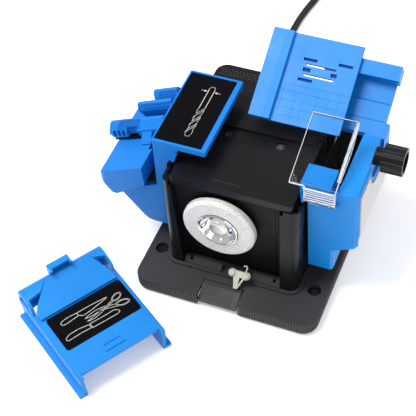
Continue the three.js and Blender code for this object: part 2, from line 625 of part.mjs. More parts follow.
// Room above the bed's slope for the two jaws.
function bedClearance() {
  const room = new THREE.BoxGeometry(80, 46, 30).translate(-8, 90.6, 15.35);
  room.rotateY(THREE.MathUtils.degToRad(-DRILL_TILT)).translate(BED.x, 0, BED.z);
  return solid(room);
}

function drillCap() {
  const { capLeft, capRight, capTop, capThickness, front, back } = DRILL;
  const plate = prism(roundedRect([capLeft, capRight], [front - 0.5, back + 0.5], 1.2), 'z',
    [capTop - capThickness, capTop]);
  const seat = box([capLeft + 1, capRight - 3.4], [front + 1.4, back - 1], [capTop - 0.9, capTop + 1]);
  return cut(plate, seat);
}
addPiece('drill_cap', drillCap(), BLUE);
addPiece('drill_label', prism(
  roundedRect([DRILL.capLeft + 1.3, DRILL.capRight - 3.7], [DRILL.front + 1.7, DRILL.back - 1.3], 1),
  'z', [DRILL.capTop - 0.6, DRILL.capTop - 0.1],
), LABEL);

// A ribbed knob with a hollow outer end.
function knob(axis, place, radius, [inner, outer], screwRadius, ribs = 14) {
  const direction = Math.sign(outer - inner);
  const ends = [inner, outer].sort((a, b) => a - b);
  const seat = [inner, inner + direction * 3].sort((a, b) => a - b);
  const hollow = [outer - direction * 4, outer + direction].sort((a, b) => a - b);
  const core = rod(axis, place, radius - 0.7, ends, 42);
  const bars = [];
  for (let i = 0; i < ribs; i += 1) {
    const angle = (i * Math.PI * 2) / ribs;
    const centre = [place[0] + (radius - 1) * Math.cos(angle), place[1] + (radius - 1) * Math.sin(angle)];
    bars.push(rod(axis, centre, 1, ends, 8));
  }
  const socket = rod(axis, place, screwRadius + GAP, [seat[0] - 0.5, seat[1] + 0.5], 18);
  return cut(join(core, ...bars), rod(axis, place, radius - 2.6, hollow, 28), socket);
}
const drillScrewPlace = [DRILL_SCREW.x, DRILL_SCREW.z];
const clampKnob = knob('y', drillScrewPlace, DRILL_SCREW.knobRadius, [110, 119], DRILL_SCREW.radius);
addPiece('drill_clamp_knob', clampKnob, BLACK);
addPiece('drill_clamp_screw', rod('y', drillScrewPlace, DRILL_SCREW.radius, [74, 112.6], 18), STEEL);

// ---------------------------------------------------------------- chisel head
const RAMP = { y: 97, z: 94.5, endY: 137.4, left: 50, right: 76.6, thickness: 4.6 };

function chiselHousing() {
  const { front, back, inner, outer, bottom, shelf, top, legOuter, hook } = CHISEL;
  const faceOutline = [
    [inner, bottom], [legOuter, bottom], [legOuter, 42.6], [76.4, 49.6], [outer, 51.2],
    [outer, top], [inner, top],
  ];
  const bulk = prism(faceOutline, 'y', [front, back]);
  const hookBar = box([hook, inner + 1], [front, 58], [BODY.top + 2.6, top]);
  const cornerPlan = [[outer - 3.2, front - 1], [outer + 1, front - 1], [outer + 1, front + 3.2]];
  const frontChamfer = prism(cornerPlan, 'z', [0, 120]);
  const topSection = [[outer - 1.3, top + 0.1], [outer + 1, top + 0.1], [outer + 1, top - 2.4]];
  const topChamfer = prism(topSection, 'y', [0, 150]);
  const legPlan = [[legOuter - 2.6, front - 1], [legOuter + 1, front - 1], [legOuter + 1, front + 2.6]];
  const legChamfer = prism(legPlan, 'z', [0, 42.5]);
  const shelfCut = box([68, outer + 1], [front + 3, back + 1], [0, shelf]);
  const well = box([hook - 1, 66.4], [58, 98], [42, top + 5]);
  const shieldSlot = box([61.4, 66.4], [front + 1, 60], [86, top + 5]);
  const legRoom = box([inner + 3, legOuter - 3], [front + 3, back + 1], [bottom - 1, 39]);
  const sideRoom = box([69, 73], [front + 6, back + 1], [60, 88]);
  const scallop = rod('x', [KNOB.y, KNOB.z], SCALLOP.radius, [outer - SCALLOP.depth, outer + 2], 40);
  const shaftHole = rod('x', [KNOB.y, KNOB.z], KNOB.screw + GAP, [64, outer + 2], 20);
  const backSlope = prism([
    [RAMP.y, RAMP.z], [110, RAMP.z + 7.4], [110, 120], [RAMP.y - 4, 120], [RAMP.y - 4, RAMP.z + 4],
  ], 'x', [40, 90]);
  const padSeat = prism(padOutline(0.4), 'x', [outer - 0.5, outer + 2]);
  const lugs = [SHIELD.lipLeft - 1.3, SHIELD.right + GAP].map((x) => cut(
    box([x, x + 1], [HINGE.y - HINGE.barrel, front + 1], [HINGE.z - HINGE.barrel, HINGE.z + HINGE.barrel]),
    rod('x', [HINGE.y, HINGE.z], HINGE.pin + GAP, [x - 1, x + 2], 14),
  ));
  const chamfers = [frontChamfer, topChamfer, legChamfer, backSlope];
  const hollows = [shelfCut, well, shieldSlot, legRoom, sideRoom, scallop, shaftHole, padSeat];
  return cut(join(bulk, hookBar, ...lugs), ...chamfers, ...hollows);
}

// The honing pad's outline as (y, z), with an arc that clears the knob's scallop.
function padOutline(grow) {
  const shape = new THREE.Shape();
  const reach = 17.2 - grow;
  shape.moveTo(44.6 - grow, CHISEL.shelf + 1.6 - grow);
  shape.lineTo(101 + grow, CHISEL.shelf + 1.6 - grow);
  shape.lineTo(101 + grow, 88);
  shape.lineTo(KNOB.y + reach, 88);
  shape.absarc(KNOB.y, KNOB.z, reach, -0.52, -Math.PI + 0.1, true);
  shape.lineTo(44.6 - grow, KNOB.z - reach * Math.sin(0.1));
  shape.closePath();
  return shape;
}

function chiselRamp() {
  const { y, z, endY, left, right, thickness } = RAMP;
  const cos = Math.cos(THREE.MathUtils.degToRad(TRAY.tilt));
  const sin = Math.sin(THREE.MathUtils.degToRad(TRAY.tilt));
  const onRamp = (along, lift) => [y + along * cos - lift * sin, z + along * sin + lift * cos];
  const end = (endY - y) / cos;
  const plate = prism([
    onRamp(0.6, 0), onRamp(22, 0), onRamp(23.4, -1.6), onRamp(end, -1.6),
    onRamp(end, -thickness), onRamp(2, -thickness),
  ], 'x', [left, right]);
  const bar = prism([
    onRamp(end - 10, -2.5), onRamp(end, -2.5), onRamp(end, 7.8), onRamp(end - 10, 7.8), onRamp(end - 10, 6),
    onRamp(end - 8.8, 6), onRamp(end - 8.8, 4.4), onRamp(end - 10, 4.4),
  ], 'x', [left - 22, right + 2]);
  const cheek = prism([
    onRamp(0.6, -1), onRamp(12, -1), [CHISEL.back + 4.5, 82], [CHISEL.back - 2, 82], [CHISEL.back - 4, z],
  ], 'x', [right - 4, right]);
  return cut(join(plate, bar, cheek), box([left - 1, right + 1], [90, CHISEL.back + GAP], [70, 120]));
}

addPiece('chisel_housing', chiselHousing(), BLUE);
addPiece('chisel_ramp', chiselRamp(), BLUE);
addPiece('honing_pad', prism(padOutline(0), 'x', [CHISEL.outer - 0.2, CHISEL.outer + 0.7]), PAD);

const knobPlace = [KNOB.y, KNOB.z];
function sideKnob() {
  const neckStart = CHISEL.outer - SCALLOP.depth + GAP;
  const neck = cut(
    rod('x', knobPlace, KNOB.neck, [neckStart, KNOB.inner + 0.5], 30),
    rod('x', knobPlace, KNOB.screw + GAP, [neckStart - 1, KNOB.inner + 1], 18),
  );
  return join(knob('x', knobPlace, KNOB.radius, [KNOB.inner, KNOB.outer], KNOB.screw), neck);
}
addPiece('side_knob', sideKnob(), BLACK);
addPiece('side_knob_screw', rod('x', knobPlace, KNOB.screw, [67, KNOB.inner + 2.7], 18), STEEL);

// The tray slides across the ramp's rail. Its frame has x across, y up the slope and z off its face.
const tray = new THREE.Group();
tray.position.set(TRAY.x, TRAY.y, TRAY.z);
tray.rotation.x = THREE.MathUtils.degToRad(TRAY.tilt);
bench.add(tray);

function chiselTray() {
  const half = TRAY.width / 2;
  const plate = box([-half, half], [0, TRAY.length], [-TRAY.thickness, 0]);
  const flangeEnd = -half + FLANGE.width;
  const flange = prism([
    [-half, -TRAY.thickness], [-half, FLANGE.height], [-half + 8.6, FLANGE.height],
    [flangeEnd - 0.8, FLANGE.height - 0.3], [flangeEnd, 0.1], [flangeEnd, -1],
  ], 'y', [0, TRAY.length]);
  const slot = ([u0, u1], [v0, v1], floor) => box([u0 - TRAY.x, u1 - TRAY.x], [v0, v1], [floor, 1]);
  const throughSlots = [[40.3, 41.7], [33.3, 34.7]].map((span) => slot([18.2, 38.5], span, -9));
  const pockets = [
    [[15.7, 24.9], [43.4, 45.4]], [[39, 48.4], [44.2, 46.2]], [[15.6, 25.2], [29.6, 31.6]],
    [[17, 22.2], [36.2, 38.8]], [[35.8, 39.8], [36, 38.6]],
  ].map(([across, along]) => slot(across, along, -1.6));
  const ribs = [-half + 18, -4, half - 3].map((x) => box([x, x + 1.6], [4, 27], [-TRAY.thickness - 2, -1]));
  return cut(join(plate, flange, ...ribs), ...throughSlots, ...pockets);
}
addPiece('chisel_tray', chiselTray(), BLUE, tray);

// The clear shield hinges at the foot of its front lip. Its frame is at the lip's top, tilted up.
const shield = new THREE.Group();
shield.position.set(0, SHIELD.y, SHIELD.z);
shield.rotation.x = THREE.MathUtils.degToRad(SHIELD.tilt);
bench.add(shield);

function clearShield() {
  const { left, lipLeft, right, length } = SHIELD;
  const top = box([left, right], [0, length], [1, 2.6]);
  const skirt = [[1, 1.2], [length, 1.2], [length, -1.6], [30, -6.4], [9, -3]];
  const side = prism(skirt, 'x', [right - 1.6, right]);
  const corner = rod('x', [0, 0], 1.9, [lipLeft, right], 18);
  const bridge = box([lipLeft, right], [-1.3, 3], [0, 1.6]);
  const tilt = THREE.MathUtils.degToRad(SHIELD.tilt);
  const lip = new THREE.BoxGeometry(right - lipLeft, 1.5, 12.4);
  lip.rotateX(-tilt);
  lip.translate((right + lipLeft) / 2, -2, -5.4);
  const drop = [HINGE.y - SHIELD.y, HINGE.z - SHIELD.z];
  const hinge = [
    drop[0] * Math.cos(tilt) + drop[1] * Math.sin(tilt),
    drop[1] * Math.cos(tilt) - drop[0] * Math.sin(tilt),
  ];
  const barrel = rod('x', hinge, HINGE.barrel, [lipLeft, right], 18);
  const pinHole = rod('x', hinge, HINGE.pin + GAP, [30, 80], 14);
  return cut(join(top, side, corner, bridge, solid(lip), barrel), pinHole);
}
addPiece('clear_shield', clearShield(), CLEAR, shield);
const shieldPinSpan = [SHIELD.lipLeft - 1.5, SHIELD.right + 1.5];
addPiece('shield_pin', rod('x', [HINGE.y, HINGE.z], HINGE.pin, shieldPinSpan, 12), STEEL);

// ---------------------------------------------------------------- knife and scissors guide
// Its frame has x across, y towards its back and z from the table.
const guide = new THREE.Group();
guide.position.set(GUIDE.x, GUIDE.y, TABLE);
guide.rotation.z = THREE.MathUtils.degToRad(GUIDE.turn);
bench.add(guide);

const RAMP_PLAN = [
  [5.8, 53.6], [63.6, 53.6], [63.4, 57], [56.2, 74.6], [22.7, 75.6], [8.2, 62.4], [5.8, 58.6],
];
const KNIFE_LABEL = [[8, 64], [23.4, 52.6]];

// A plan moved outwards from its middle by a distance.
function grown(plan, distance) {
  const middle = [35, 63];
  return plan.map(([x, y]) => {
    const reach = Math.hypot(x - middle[0], y - middle[1]);
    const scale = (reach + distance) / reach;
    return [middle[0] + (x - middle[0]) * scale, middle[1] + (y - middle[1]) * scale];
  });
}

function guideBody() {
  const { width, depth, height, wall } = GUIDE;
  const section = [
    [0, 0], [6, 0], [6, 2.4], [5.4, height - wall], [width - 5.4, height - wall], [width - 6, 2.4],
    [width - 6, 0], [width, 0], [width, 2.4], [width - 3.6, 2.6], [width - 2.8, height - 1],
    [width - 3.8, height], [3.8, height], [2.8, height - 1], [3.6, 2.6], [0, 2.4],
  ];
  const channel = cut(prism(section, 'y', [0, depth]), box([6, width - 6], [-1, 3.2], [3, height + 1]));
  const block = prism([
    [60, height - 1], [62.6, height + 5.6], [66, height + 7.4], [72, height + 8.6], [78, height + 8],
    [depth + 0.8, height + 5.4], [depth + 0.8, height - 9], [77.4, height - 9], [77.4, height + 4.6],
    [70, height + 5.6], [66, height + 4.6], [64.4, height - 1],
  ], 'x', [3.4, width - 3.4]);
  const rampRoom = prism(grown(RAMP_PLAN, 0.4), 'z', [height + GAP, height + 14]);
  const rampSeat = prism(grown(RAMP_PLAN, -2.4), 'z', [height - 4, height + 1]);
  const slots = join(
    prism([[5.6, 58.5], [8.2, 61.6], [15, 69.4], [5.6, 68]], 'z', [height - 8, height + 12]),
    prism([[63.6, 55.6], [64.9, 55.6], [64.7, 69.4], [58, 72.2]], 'z', [height - 8, height + 12]),
  );
  const rearMouth = box([12, width - 12], [70, depth + 2], [-1, 8]);
  const [labelX, labelY] = KNIFE_LABEL;
  const labelSeat = box(
    [labelX[0] - GAP, labelX[1] + GAP], [labelY[0] - GAP, labelY[1] + GAP], [height - 0.6, height + 1],
  );
  const raisedMark = cut(
    box([27.4, 42], [8.2, 14.4], [height - 0.5, height + 0.7]),
    box([28.6, 40.8], [9.5, 13.1], [height + 0.1, height + 2]),
  );
  const tab = cut(
    box([27, 43], [73.4, depth + 0.8], [height + 7, height + 15]),
    box([28.6, 41.4], [70, depth - 1.4], [height + 9.4, height + 13.4]),
    box([28.6, 41.4], [70, 76], [height + 9.4, height + 16]),
  );
  const frame = cut(join(channel, block), rampSeat, rampRoom, slots, rearMouth, labelSeat);
  return join(frame, raisedMark, cut(tab, rampRoom));
}

// The sloping plate with cut corners that the blade rests on.
function guideRamp() {
  const { width, height } = GUIDE;
  const stretch = prism(RAMP_PLAN, 'z', [0, 40]);
  const sheet = prism([
    [51, height + 0.6], [56, height + 0.7], [77, height + 7.8],
    [77, height + 9.8], [56, height + 2.6], [52, height + 1.2],
  ], 'x', [0, width]);
  return stretch.intersect(sheet);
}
addPiece('knife_guide_body', guideBody(), BLUE, guide);
addPiece('knife_guide_ramp', guideRamp(), BLUE, guide);
addPiece('knife_label', prism(
  roundedRect(...KNIFE_LABEL, 2.4), 'z', [GUIDE.height - 0.3, GUIDE.height + 0.2],
), LABEL, guide);

// ---------------------------------------------------------------- cord
const strainEnd = BODY.footBack + 26;
function strainRelief() {
  return turned('y', [CORD.exitX, CORD.exitZ], [
    [3.2, 129], [6.6, 129], [6.6, 131.4], [4.9, 131.4], [4.9, 138], [6.6, 138], [6.6, 140], [5.4, 141],
    [3.9, strainEnd], [3.2, strainEnd], [3.2, 129],
  ], 20);
}
addPiece('strain_relief', strainRelief(), RUBBER);

// The cord's centre line: out of the strain relief, down to the table and back to the coil.
const lay = TABLE + CORD.diameter / 2 + 0.1;
const cordRoute = [
  [CORD.exitX, strainEnd + GAP, CORD.exitZ], [CORD.exitX - 0.6, 172, 20.8], [CORD.exitX - 3, 184, 16.2],
  [CORD.exitX - 7.4, 196, 9.8], [CORD.exitX - 12.8, 209, 4], [CORD.exitX - 18.2, 224, lay],
  [CORD.exitX - 22.8, 242, lay], [CORD.exitX - 25.2, 260, lay], [CORD.exitX - 25, 277, lay],
  [CORD.exitX - 24.4, 291, lay], [CORD.exitX - 22.8, 304, lay], [CORD.exitX - 20.6, 316, lay],
  [CORD.exitX - 18.6, 330, lay], [CORD.exitX - 17.8, 345, lay], [CORD.exitX - 17.7, COIL.y - 22.4, lay],
];
const tailRoute = [
  [18.2, PLUG.y + 0.5, 6.4], [26, PLUG.y + 0.3, 5.6], [34.6, PLUG.y, PLUG.z], [PLUG.x - 12, PLUG.y, PLUG.z],
];

function cordTube(route, steps) {
  const section = new THREE.Shape();
  for (let i = 0; i < CORD.sides; i += 1) {
    const angle = ((i + 0.5) * Math.PI * 2) / CORD.sides;
    const place = [CORD.diameter / 2 * Math.cos(angle), CORD.diameter / 2 * Math.sin(angle)];
    if (i === 0) section.moveTo(...place);
    else section.lineTo(...place);
  }
  section.closePath();
  const path = new THREE.CatmullRomCurve3(route.map(([x, y, z]) => new THREE.Vector3(x, y, z)));
  return solid(new THREE.ExtrudeGeometry(section, { steps, extrudePath: path, curveSegments: 1 }));
}
addPiece('power_cord', cordTube(cordRoute, 40), RUBBER);
addPiece('cord_tail', cordTube(tailRoute, 6), RUBBER);

const { radius: coilRadius, halfWidth, height: coilHeight } = COIL;
addPiece('cord_coil', turned('z', [COIL.x, COIL.y], ring(
  coilRadius - halfWidth, coilRadius + halfWidth, TABLE + 0.1, TABLE + coilHeight,
), 40), RUBBER);

function plugBody() {
  const { x, y, z, length, width, height } = PLUG;
  const plan = [
    [x, y - 6], [x + 12, y - width / 2], [x + length, y - width / 2], [x + length, y + width / 2],
    [x + 12, y + width / 2], [x, y + 6],
  ];
  const block = prism(plan, 'z', [z - height / 2, z + height / 2]);
  const boot = rod('x', [y, z], 3.6, [x - 11.5, x + 1], 16, 5);
  return join(block, boot);
}
addPiece('plug_body', plugBody(), RUBBER);
[['front', -1], ['back', 1]].forEach(([side, sign]) => {
  const place = [PLUG.y + sign * PLUG.pitch / 2, PLUG.z];
  const start = PLUG.x + PLUG.length + GAP;
  addPiece(`plug_pin_${side}`, rod('x', place, PLUG.pinRadius, [start, start + PLUG.pin], 14), STEEL);
});

export default sharpener;
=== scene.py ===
"""Looks for the bench sharpener: materials, softened edges, fine detail, cord, floor, light and camera."""
import json
import math
import random

import bmesh
import bpy
from mathutils import Matrix, Vector


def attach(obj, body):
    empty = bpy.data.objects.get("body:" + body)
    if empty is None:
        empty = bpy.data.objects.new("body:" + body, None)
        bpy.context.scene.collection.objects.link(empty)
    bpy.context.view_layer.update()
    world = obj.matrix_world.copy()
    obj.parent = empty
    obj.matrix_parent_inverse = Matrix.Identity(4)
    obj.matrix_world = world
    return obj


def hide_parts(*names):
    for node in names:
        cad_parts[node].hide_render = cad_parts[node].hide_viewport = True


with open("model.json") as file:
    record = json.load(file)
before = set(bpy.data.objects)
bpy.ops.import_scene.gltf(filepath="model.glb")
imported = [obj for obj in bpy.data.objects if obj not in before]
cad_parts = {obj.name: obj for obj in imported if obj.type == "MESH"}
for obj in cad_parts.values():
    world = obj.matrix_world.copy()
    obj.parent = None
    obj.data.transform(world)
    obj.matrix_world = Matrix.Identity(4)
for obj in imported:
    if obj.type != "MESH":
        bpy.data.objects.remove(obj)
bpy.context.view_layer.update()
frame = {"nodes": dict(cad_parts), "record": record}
NODES = frame["nodes"]
MM = 0.001
scene = bpy.context.scene

# The bench frame of the CAD source has its origin at the base plate's front edge and underside.
BENCH = Vector((0, -79, 1.5))


def bench(x, y, z):
    """A point in the bench frame, in millimetres, as metres in the row frame."""
    return (Vector((x, y, z)) + BENCH) * MM


# ---------------------------------------------------------------- camera
CAMERA_PLACE = Vector((0.2081, -0.4962, 0.6549))      # metres, as are the target and the clip
CAMERA_TARGET = Vector((-0.0275, -0.0283, 0.0400))
CAMERA_ROLL = math.radians(-6.09)
CAMERA_LENS = 104.1                                   # millimetres, as is the sensor
CAMERA_SENSOR = 36
CAMERA_CLIP = 0.01


def make_camera():
    data = bpy.data.cameras.new("camera")
    data.lens = CAMERA_LENS
    data.sensor_width = CAMERA_SENSOR
    data.clip_start = CAMERA_CLIP
    camera = bpy.data.objects.new("camera", data)
    scene.collection.objects.link(camera)
    forward = (CAMERA_TARGET - CAMERA_PLACE).normalized()
    level = forward.cross(Vector((0, 0, 1))).normalized()
    upright = level.cross(forward)
    right = level * math.cos(CAMERA_ROLL) + upright * math.sin(CAMERA_ROLL)
    up = right.cross(forward)
    turn = Matrix((right, up, -forward)).transposed().to_4x4()
    camera.matrix_world = Matrix.Translation(CAMERA_PLACE) @ turn
    scene.camera = camera


make_camera()


# ---------------------------------------------------------------- material kit
NOISE_LOW, NOISE_HIGH = 0.3, 0.7              # the values that a noise texture mostly keeps between
DRIFT_SCALE, GLOSS_SCALE = 22, 60             # of the slow colour drift and the uneven gloss on plastic
METAL_LOW, METAL_HIGH = 0.35, 0.65            # the values where metal is at its darkest and at its lightest
METAL_DARK = 0.9                              # its darkest tone, as a part of its colour


class Nodes:
    """A short way to write a material's nodes."""

    def __init__(self, name):
        self.material = bpy.data.materials.new(name)
        self.material.use_nodes = True
        self.tree = self.material.node_tree
        self.shader = self.tree.nodes["Principled BSDF"]
        self.place = self.add("ShaderNodeTexCoord").outputs["Object"]

    def add(self, kind):
        return self.tree.nodes.new(kind)

    def link(self, source, target):
        self.tree.links.new(source, target)

    def set(self, **values):
        for key, value in values.items():
            self.shader.inputs[key.replace("_", " ")].default_value = value

    def noise(self, scale, detail):
        node = self.add("ShaderNodeTexNoise")
        node.inputs["Scale"].default_value = scale
        node.inputs["Detail"].default_value = detail
        self.link(self.place, node.inputs["Vector"])
        return node.outputs["Fac"]

    def cells(self, scale, output="Distance"):
        node = self.add("ShaderNodeTexVoronoi")
        node.inputs["Scale"].default_value = scale
        self.link(self.place, node.inputs["Vector"])
        return node.outputs[output]

    def spread(self, source, low, high):
        node = self.add("ShaderNodeMapRange")
        self.link(source, node.inputs["Value"])
        ends = (("From Min", NOISE_LOW), ("From Max", NOISE_HIGH), ("To Min", low), ("To Max", high))
        for key, value in ends:
            node.inputs[key].default_value = value
        return node.outputs["Result"]

    def ramp(self, source, *stops):
        node = self.add("ShaderNodeValToRGB")
        self.link(source, node.inputs["Fac"])
        while len(node.color_ramp.elements) < len(stops):
            node.color_ramp.elements.new(0.5)
        for element, (place, color) in zip(node.color_ramp.elements, stops):
            element.position = place
            element.color = (*color, 1)
        return node.outputs["Color"]

    def bump(self, height, strength, distance, under=None):
        node = self.add("ShaderNodeBump")
        node.inputs["Strength"].default_value = strength
        node.inputs["Distance"].default_value = distance
        self.link(height, node.inputs["Height"])
        if under:
            self.link(under, node.inputs["Normal"])
        self.link(node.outputs["Normal"], self.shader.inputs["Normal"])
        return node.outputs["Normal"]


def moulded(name, color, tone, rough, grain=900, grain_depth=0.00002, shine=0.5):
    """Moulded plastic: a faint colour drift, a spark-eroded grain and uneven gloss."""
    kit = Nodes(name)
    drift = kit.noise(DRIFT_SCALE, 2)
    dark = tuple(c * (1 - tone) for c in color)
    light = tuple(min(1, c * (1 + tone)) for c in color)
    kit.link(kit.ramp(drift, (NOISE_LOW, dark), (NOISE_HIGH, light)), kit.shader.inputs["Base Color"])
    kit.link(kit.spread(kit.noise(GLOSS_SCALE, 4), *rough), kit.shader.inputs["Roughness"])
    kit.bump(kit.noise(grain, 3), 0.35, grain_depth)
    kit.set(Specular_IOR_Level=shine)
    return kit.material


def metal(name, color, rough, scale=300, depth=0.00001):
    """Bare metal with a fine grain."""
    kit = Nodes(name)
    kit.set(Metallic=1.0)
    grain = kit.noise(scale, 4)
    dark = tuple(c * METAL_DARK for c in color)
    kit.link(kit.ramp(grain, (METAL_LOW, dark), (METAL_HIGH, color)), kit.shader.inputs["Base Color"])
    kit.link(kit.spread(grain, *rough), kit.shader.inputs["Roughness"])
    kit.bump(grain, 0.2, depth)
    return kit.material


def grit(name, stops, scale, depth, rough, metallic=0.0):
    """Bonded or plated grit: coloured grains that stand proud."""
    kit = Nodes(name)
    kit.link(kit.ramp(kit.cells(scale, "Color"), *stops), kit.shader.inputs["Base Color"])
    kit.link(kit.spread(kit.noise(scale, 2), *rough), kit.shader.inputs["Roughness"])
    under = kit.bump(kit.cells(scale * 0.8), 0.9, depth)
    kit.bump(kit.noise(scale * 2.1, 3), 0.5, depth * 0.5, under)
    kit.set(Metallic=metallic)
    return kit.material


def clear_plastic():
    kit = Nodes("clear_plastic")
    kit.set(Base_Color=(0.99, 0.995, 1.0, 1), Roughness=0.02, IOR=1.12, Transmission_Weight=1.0)
    return kit.material


def clear_edge():
    kit = Nodes("clear_edge")
    kit.set(Base_Color=(0.95, 0.97, 1.0, 1), Roughness=0.18, Transmission_Weight=0.25, IOR=1.3)
    return kit.material


def cream_nylon():
    kit = Nodes("cream_nylon")
    drift = kit.noise(120, 3)
    tone = kit.ramp(drift, (NOISE_LOW, (0.62, 0.64, 0.52)), (NOISE_HIGH, (0.84, 0.85, 0.74)))
    kit.link(tone, kit.shader.inputs["Base Color"])
    kit.set(Roughness=0.22, IOR=1.3, Transmission_Weight=0.45)
    kit.set(Subsurface_Weight=0.2, Subsurface_Scale=0.002)
    kit.bump(drift, 0.2, 0.00005)
    return kit.material


MOULDED = {      # name: colour, drift of the colour, roughness range, then grain scale, grain depth, shine
    "black_plastic": ((0.0056, 0.0058, 0.0070), 0.15, (0.24, 0.36), 1500, 0.00003, 0.19),
    "black_matt": ((0.0270, 0.0272, 0.0290), 0.12, (0.42, 0.55), 1500, 0.00005, 0.3),
    # dark_plastic is darker than black_plastic: painted shade for parts deep in the recess and for the
    # shade sheets
    "dark_plastic": ((0.0035, 0.0035, 0.0042), 0.12, (0.45, 0.6), 1200, 0.00003, 0.15),
    "blue_plastic": ((0.005, 0.205, 0.620), 0.06, (0.34, 0.46), 1300, 0.000015, 0.24),
    # blue_painted_shade: blue_plastic made darker and deeper, as painted shade on the drill head's parts
    "blue_painted_shade": ((0.004, 0.165, 0.560), 0.06, (0.34, 0.46), 1300, 0.000015, 0.22),
    # blue_painted_groove_shade: dark blue on the jaw ribs, as painted shade in the grooves between them
    "blue_painted_groove_shade": ((0.003, 0.090, 0.360), 0.08, (0.4, 0.5), 900, 0.00001, 0.15),
    # blue_sink_mark_shade: darker blue lines on the tray, as painted shade of faint sink marks
    "blue_sink_mark_shade": ((0.005, 0.145, 0.480), 0.08, (0.4, 0.5), 900, 0.00001, 0.2),
    # tray_pit_shade_floor: dark blue floors in the tray's pockets, as painted shade
    "tray_pit_shade_floor": ((0.003, 0.050, 0.260), 0.1, (0.5, 0.6), 900, 0.00001, 0.1),
    "black_label": ((0.0020, 0.0021, 0.0036), 0.1, (0.22, 0.3), 400, 0.000004, 0.06),
    "label_ink": ((0.55, 0.53, 0.47), 0.05, (0.5, 0.6)),
    "rubber": ((0.010, 0.010, 0.011), 0.12, (0.55, 0.72), 1500, 0.00003, 0.25),
}
METALS = {       # name: colour, roughness range, then grain scale and grain depth
    "chrome": ((0.82, 0.82, 0.81), (0.05, 0.1), 90, 0.000002),
    "nut_satin": ((0.74, 0.74, 0.69), (0.34, 0.44), 200, 0.000004),
    "steel": ((0.56, 0.57, 0.58), (0.22, 0.34)),
    "motor_steel": ((0.42, 0.43, 0.44), (0.3, 0.45)),
    "copper": ((0.62, 0.27, 0.12), (0.3, 0.42)),
    "black_screw": ((0.16, 0.16, 0.165), (0.2, 0.3)),
    "brass_pin": ((0.72, 0.62, 0.4), (0.22, 0.32)),
}
WHEEL_STOPS = (
    (0.0, (0.36, 0.36, 0.355)), (0.35, (0.60, 0.60, 0.59)),
    (0.7, (0.78, 0.78, 0.76)), (1.0, (0.92, 0.92, 0.90)),
)
HONING_STOPS = ((0.0, (0.50, 0.48, 0.48)), (0.5, (0.64, 0.62, 0.62)), (1.0, (0.78, 0.76, 0.76)))
MATERIALS = {
    **{name: moulded(name, *values) for name, values in MOULDED.items()},
    **{name: metal(name, *values) for name, values in METALS.items()},
    "abrasive": grit("abrasive", WHEEL_STOPS, 2600, 0.00015, (0.45, 0.75), 0.1),
    "honing_grit": grit("honing_grit", HONING_STOPS, 3200, 0.0001, (0.7, 0.9)),
    "clear_plastic": clear_plastic(),
    "clear_edge": clear_edge(),
    "cream_nylon": cream_nylon(),
}


def dress(obj, look):
    obj.data.materials.clear()
    obj.data.materials.append(MATERIALS[look])


# ---------------------------------------------------------------- cord
CORD_DIAMETER = 5.6
CORD_LIE = 1.4                    # height of the cord's middle when it lies on the table, which is at -1.5
EXIT_X, EXIT_Y, EXIT_Z = -22, 162.3, 22
COIL_X, COIL_Y, COIL_RADIUS = -3, 383, 31
COIL_TURNS, STEPS_PER_TURN = 5.25, 28
TURN_PITCH = 5.65                 # from a turn of the coil to the next
COIL_SHIFTS = ((0.75, -1), (1.75, -1), (3.5, 1), (4.5, 1))    # the turn where a shift starts, and its way
SHIFT_SPAN = 0.25                 # the part of a turn that a shift takes
CLIMB_START, CLIMB_SPAN = 2.7, 0.3            # where the coil climbs on top of itself, in turns
CURVE_STEPS = 4                   # between two points of the route
CORD_ROUTE = (
    (EXIT_X, EXIT_Y, EXIT_Z), (EXIT_X - 0.6, 172, 20.8), (EXIT_X - 3, 184, 16.2),
    (EXIT_X - 7.4, 196, 9.8), (EXIT_X - 12.8, 209, 4), (EXIT_X - 18.2, 224, CORD_LIE),
    (EXIT_X - 22.8, 242, CORD_LIE), (EXIT_X - 25.2, 260, CORD_LIE), (EXIT_X - 25, 277, CORD_LIE),
    (EXIT_X - 24.4, 291, CORD_LIE), (EXIT_X - 22.8, 304, CORD_LIE), (EXIT_X - 20.6, 316, CORD_LIE),
    (EXIT_X - 18.6, 330, CORD_LIE), (EXIT_X - 17.8, 345, CORD_LIE), (EXIT_X - 17.7, 360.6, CORD_LIE),
    (EXIT_X - 17.65, 372, CORD_LIE),
)
TAIL_ROUTE = ((26, 419.3, 5.6), (34.6, 419, 4.6), (36.2, 419, 4.6))


def smooth_step(t):
    t = min(1, max(0, t))
    return t * t * (3 - 2 * t)


def coil_turns():
    """Three turns side by side on the table, then two and a quarter more on top of them."""
    outer = COIL_RADIUS + TURN_PITCH
    points = []
    for i in range(int(COIL_TURNS * STEPS_PER_TURN) + 1):
        turn = i / STEPS_PER_TURN
        radius = outer + sum(
            way * TURN_PITCH * smooth_step((turn - start) / SHIFT_SPAN) for start, way in COIL_SHIFTS)
        rise = TURN_PITCH * smooth_step((turn - CLIMB_START) / CLIMB_SPAN)
        angle = math.pi - 2 * math.pi * turn
        x, y = COIL_X + radius * math.cos(angle), COIL_Y + radius * math.sin(angle)
        points.append((x, y, CORD_LIE + rise))
    return points


def through(points):
    """A Catmull-Rom curve through the points."""
    points = [Vector(p) for p in points]
    padded = [2 * points[0] - points[1], *points, 2 * points[-1] - points[-2]]
    line = []
    for a, b, c, d in zip(padded, padded[1:], padded[2:], padded[3:]):
        for i in range(CURVE_STEPS):
            t = i / CURVE_STEPS
            line.append(0.5 * (2 * b + (c - a) * t + (2 * a - 5 * b + 4 * c - d) * t ** 2
                               + (3 * b - a - 3 * c + d) * t ** 3))
    return [*line, points[-1]]


